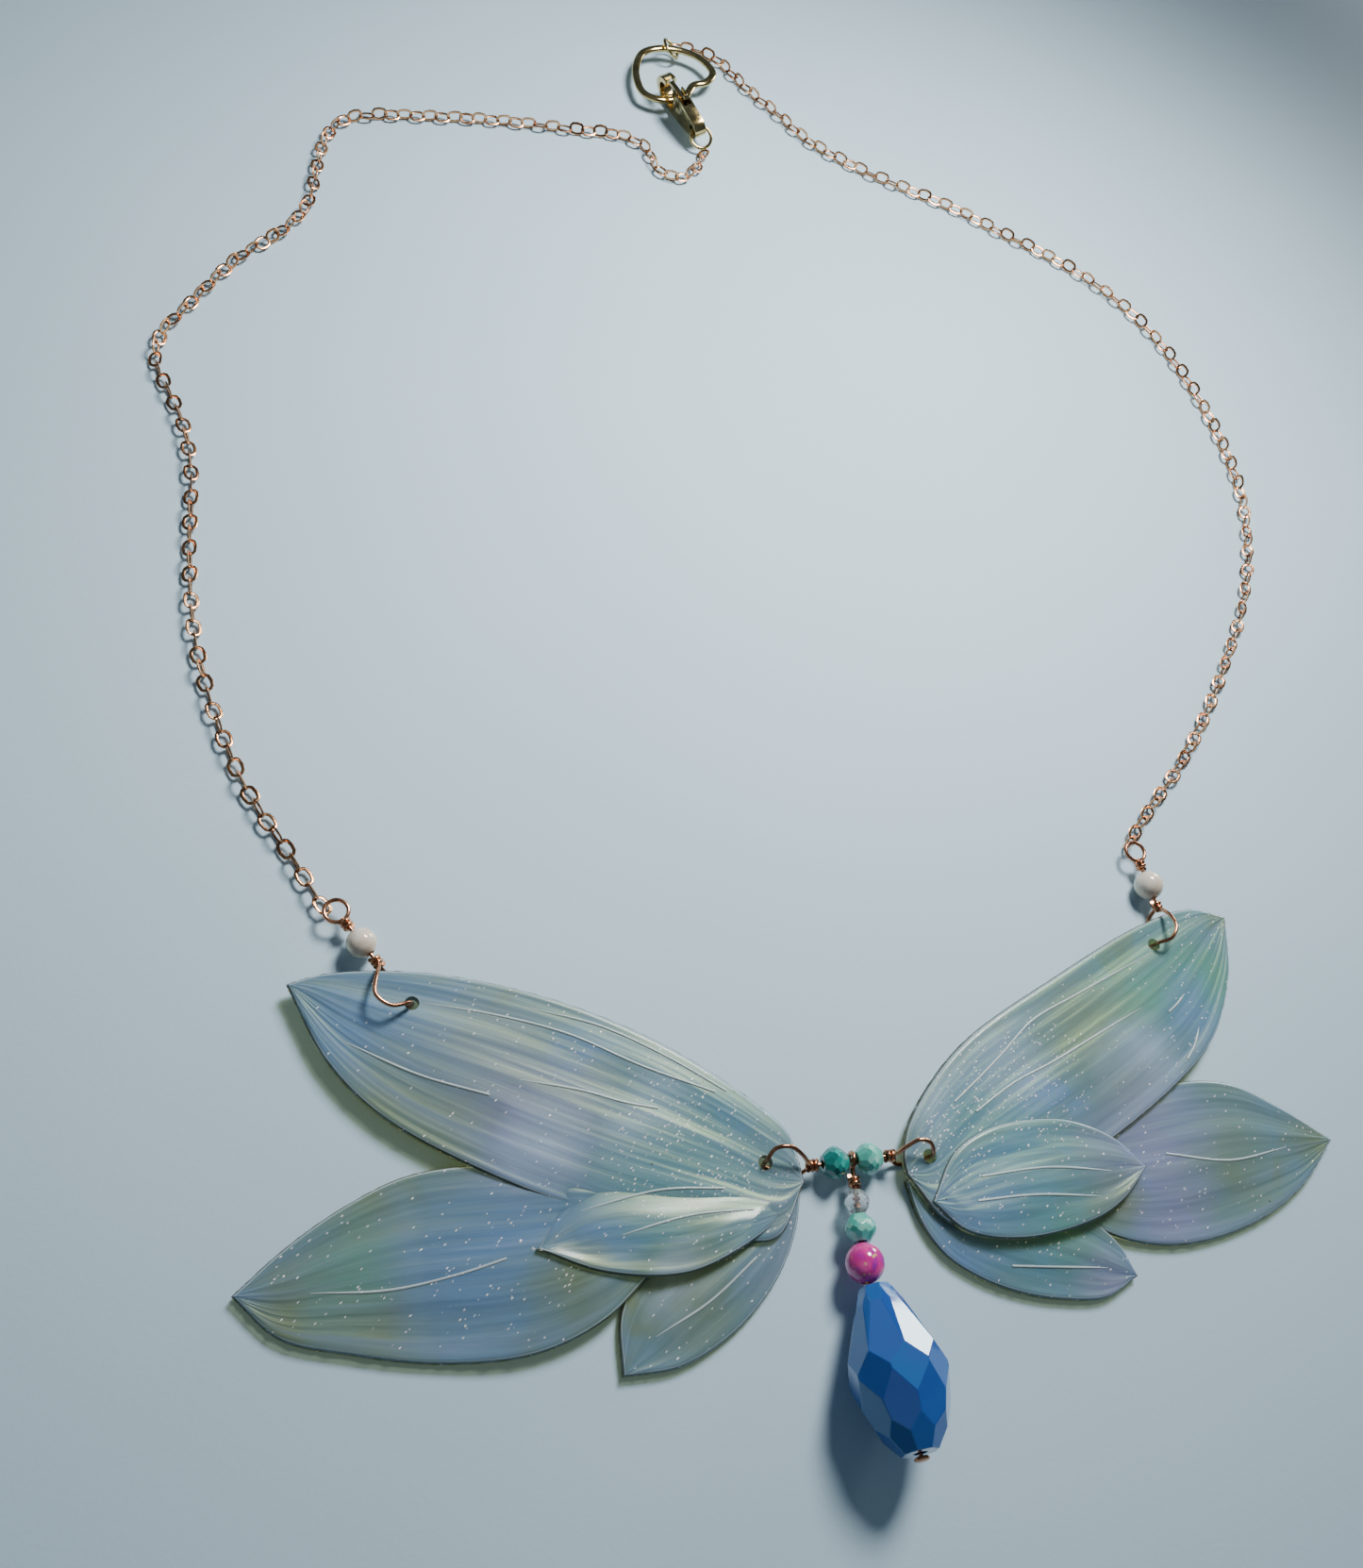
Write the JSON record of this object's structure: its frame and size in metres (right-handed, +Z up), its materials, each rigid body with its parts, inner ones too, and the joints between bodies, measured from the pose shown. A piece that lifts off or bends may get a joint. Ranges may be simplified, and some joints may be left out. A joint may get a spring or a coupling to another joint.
{
  "type": "fairy wing necklace",
  "caption": "Necklace with two layered translucent wings joined by a wire connector, a beaded drop, pearl wire links, fine chain and a lobster clasp.",
  "frame": {"origin": "on the surface the pendant lies on, under the middle of the box round the two wings, the connector, the drop and the pearl links", "axes": "+X from the left wing to the right wing, +Y from the drop towards the clasp, +Z up from the surface"},
  "size_m": [0.1564, 0.2127, 0.01],
  "materials": {
    "wing_film": "translucent pearly film with fine glitter and pressed veins",
    "rose_gold_wire": "polished rose gold coloured copper wire",
    "rose_gold_chain": "polished rose gold coloured cable chain",
    "clasp_brass": "polished yellow gold coloured brass",
    "spring_steel": "bright spring steel",
    "teal_glass": "faceted deep teal glass",
    "amazonite": "faceted polished blue-green stone",
    "clear_glass": "faceted clear glass",
    "opal": "polished pink opal-like glass with green and gold flashes",
    "blue_crystal": "faceted blue glass with an iridescent coating",
    "pearl": "cream pearl lustre"
  },
  "bodies": {
    "necklace": {"connector_wire": "rose_gold_wire", "left_pearl_wire": "rose_gold_wire", "right_pearl_wire": "rose_gold_wire", "left_chain": "rose_gold_chain", "right_chain": "rose_gold_chain", "heart_ring": "clasp_brass", "lobster_body": "clasp_brass", "lobster_pin": "clasp_brass", "lobster_spring": "spring_steel"},
    "left_wing": {"left_wing": "wing_film"},
    "right_wing": {"right_wing": "wing_film"},
    "drop": {"drop_pin": "rose_gold_wire"},
    "teal_rondelle": {"teal_rondelle": "teal_glass"},
    "amazonite_rondelle": {"amazonite_rondelle": "amazonite"},
    "clear_bead": {"clear_bead": "clear_glass"},
    "amazonite_bead": {"amazonite_bead": "amazonite"},
    "opal_bead": {"opal_bead": "opal"},
    "teardrop": {"teardrop_bead": "blue_crystal"},
    "left_pearl": {"left_pearl": "pearl"},
    "right_pearl": {"right_pearl": "pearl"},
    "jump_ring": {"jump_ring": "clasp_brass"},
    "end_ring": {"end_ring": "clasp_brass"},
    "lobster_lever": {"lobster_lever": "clasp_brass"}
  },
  "joints": [
    {"name": "left_wing_flap", "type": "hinge", "parent": "necklace", "child": "left_wing", "pos_m": [-0.00335, -0.00295, 0.0019], "axis": [-0.8541, 0.5201, 0], "range_deg": [0, 20]},
    {"name": "right_wing_flap", "type": "hinge", "parent": "necklace", "child": "right_wing", "pos_m": [0.00585, -0.00295, 0.0019], "axis": [-0.8553, -0.5182, 0], "range_deg": [0, 20]},
    {"name": "drop_swing", "type": "hinge", "parent": "necklace", "child": "drop", "pos_m": [0.00125, -0.00295, 0.0019], "axis": [-1, 0, 0], "range_deg": [0, 110]},
    {"name": "teal_rondelle_spin", "type": "hinge", "parent": "necklace", "child": "teal_rondelle", "pos_m": [-0.00063, -0.00295, 0.0019], "axis": [1, 0, 0], "continuous": true},
    {"name": "amazonite_rondelle_spin", "type": "hinge", "parent": "necklace", "child": "amazonite_rondelle", "pos_m": [0.00313, -0.00295, 0.0019], "axis": [1, 0, 0], "continuous": true},
    {"name": "clear_bead_spin", "type": "hinge", "parent": "drop", "child": "clear_bead", "pos_m": [0.00072, -0.00715, 0.00232], "axis": [-0.1235, -0.9874, 0.0987], "continuous": true},
    {"name": "amazonite_bead_spin", "type": "hinge", "parent": "drop", "child": "amazonite_bead", "pos_m": [0.0004, -0.00977, 0.00258], "axis": [-0.1235, -0.9874, 0.0987], "continuous": true},
    {"name": "opal_bead_spin", "type": "hinge", "parent": "drop", "child": "opal_bead", "pos_m": [-0.00002, -0.01314, 0.00292], "axis": [-0.1235, -0.9874, 0.0987], "continuous": true},
    {"name": "teardrop_spin", "type": "hinge", "parent": "drop", "child": "teardrop", "pos_m": [0.00032, -0.01546, 0.00318], "axis": [-0.0098, -0.9786, 0.2055], "continuous": true},
    {"name": "left_pearl_spin", "type": "hinge", "parent": "necklace", "child": "left_pearl", "pos_m": [-0.04685, 0.02495, 0.0018], "axis": [0.5407, -0.8412, 0], "continuous": true},
    {"name": "right_pearl_spin", "type": "hinge", "parent": "necklace", "child": "right_pearl", "pos_m": [0.04695, 0.02515, 0.0018], "axis": [0.0599, -0.9982, 0], "continuous": true},
    {"name": "jump_ring_spin", "type": "hinge", "parent": "necklace", "child": "jump_ring", "pos_m": [0.01085, 0.17815, 0.00205], "axis": [0.6332, 0, 0.774], "continuous": true},
    {"name": "end_ring_spin", "type": "hinge", "parent": "necklace", "child": "end_ring", "pos_m": [0.01237, 0.15669, 0.00193], "axis": [0.044, 0.5458, -0.8367], "continuous": true},
    {"name": "lobster_lever_hinge", "type": "hinge", "parent": "necklace", "child": "lobster_lever", "pos_m": [0.00985, 0.16238, 0.00366], "axis": [-0.9099, -0.324, -0.259], "range_deg": [0, 15], "stiffness_Nm_per_rad": 0.004}
  ]
}
